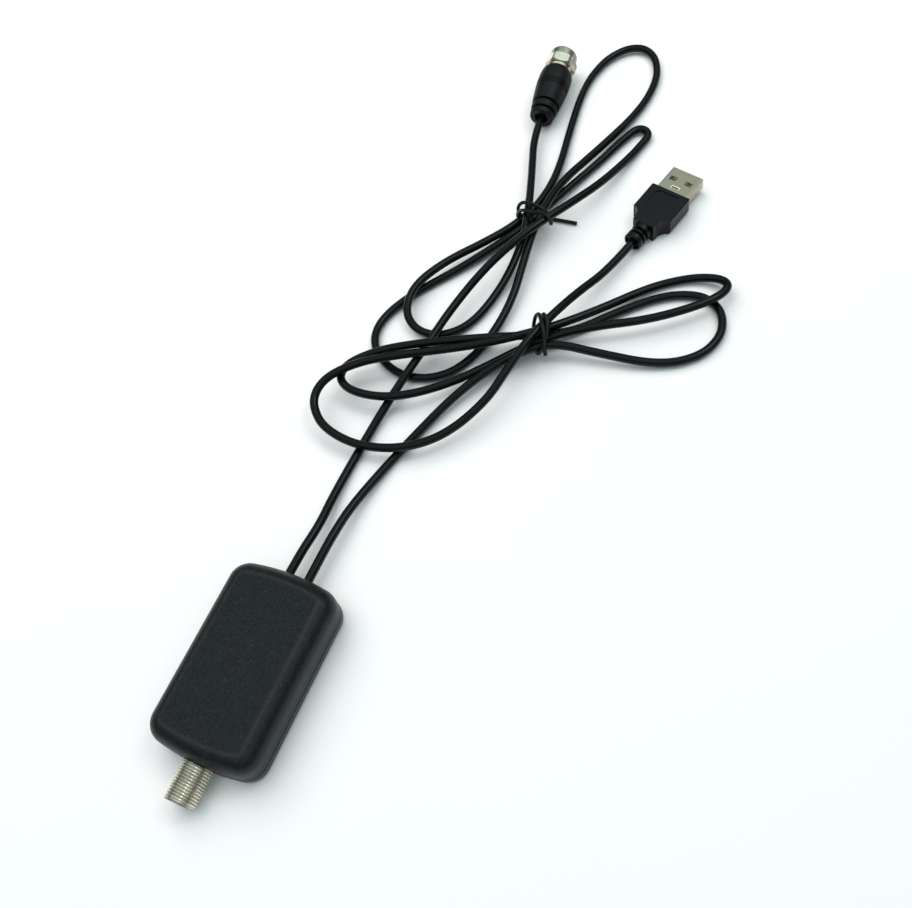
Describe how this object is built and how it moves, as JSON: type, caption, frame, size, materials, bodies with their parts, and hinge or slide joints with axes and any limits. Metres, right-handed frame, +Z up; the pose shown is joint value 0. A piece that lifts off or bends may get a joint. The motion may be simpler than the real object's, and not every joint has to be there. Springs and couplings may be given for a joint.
{
  "type": "tv signal amplifier",
  "caption": "Small black inline aerial amplifier box with a threaded F socket, a coax lead to an F plug and a power lead to a USB plug, both leads folded and tied.",
  "frame": {"origin": "centre of the box's underside, the plane it stands on", "axes": "+Z up, -Y along the F socket out of the box, +Y towards the two cords, +X to the right when looking along +Y"},
  "size_m": [0.1161, 0.3156, 0.0142],
  "materials": {
    "black_shell": "fine grained matt black ABS",
    "black_shell_low": "fine grained matt black ABS",
    "socket_nickel": "nickel plate on brass, satin",
    "plug_nickel": "nickel plate on brass, satin",
    "nut_nickel": "nickel plate on brass, satin",
    "usb_nickel": "nickel plate on steel sheet, satin",
    "white_insulator": "white polyethylene",
    "contact_bronze": "bright",
    "board_green": "green solder mask",
    "chip_black": "moulded epoxy",
    "lead_tin": "tin plate",
    "capacitor_tan": "ceramic",
    "resistor_black": "ceramic with glass coat",
    "choke_ferrite": "ferrite",
    "winding_copper": "enamelled copper wire",
    "capacitor_can": "sleeved can",
    "solder": "solder",
    "coax_jacket": "satin black PVC",
    "usb_jacket": "satin black PVC",
    "dielectric_white": "foamed polyethylene",
    "bare_copper": "bare copper",
    "wire_red": "PVC",
    "wire_black": "PVC",
    "tie_coating": "plastic coated wire",
    "boot_black": "satin black moulded PVC",
    "pin_brass": "bright",
    "usb_grip_black": "satin black moulded PVC",
    "usb_tongue_black": "black nylon",
    "contact_gold": "gold flash"
  },
  "bodies": {
    "amplifier": {"upper_shell": "black_shell", "lower_shell": "black_shell_low", "f_socket_body": "socket_nickel", "f_socket_insulator": "white_insulator", "f_socket_contact": "contact_bronze", "circuit_board": "board_green", "amplifier_chip": "chip_black", "chip_leads": "lead_tin", "chip_capacitors": "capacitor_tan", "chip_resistors": "resistor_black", "choke_core": "choke_ferrite", "choke_winding": "winding_copper", "filter_capacitor": "capacitor_can", "solder_joints": "solder", "coax_inner_end": "coax_jacket", "usb_inner_end": "usb_jacket", "coax_dielectric": "dielectric_white", "coax_conductors": "bare_copper", "usb_red_wire": "wire_red", "usb_black_wire": "wire_black", "coax_cord": "coax_jacket", "usb_cord": "usb_jacket", "twist_tie_1": "tie_coating", "twist_tie_2": "tie_coating", "f_plug_boot": "boot_black", "f_plug_sleeve": "plug_nickel", "f_plug_insulator": "white_insulator", "f_plug_pin": "pin_brass", "usb_overmould": "usb_grip_black", "usb_shell": "usb_nickel", "usb_tongue": "usb_tongue_black", "usb_contacts": "contact_gold"},
    "coupling_nut": {"f_plug_nut": "nut_nickel"}
  },
  "joints": [
    {"name": "nut_spin", "type": "hinge", "parent": "amplifier", "child": "coupling_nut", "pos_m": [-0.0025, 0.25435, 0.00777], "axis": [-0.0701, 0.9919, 0.1055], "continuous": true}
  ]
}
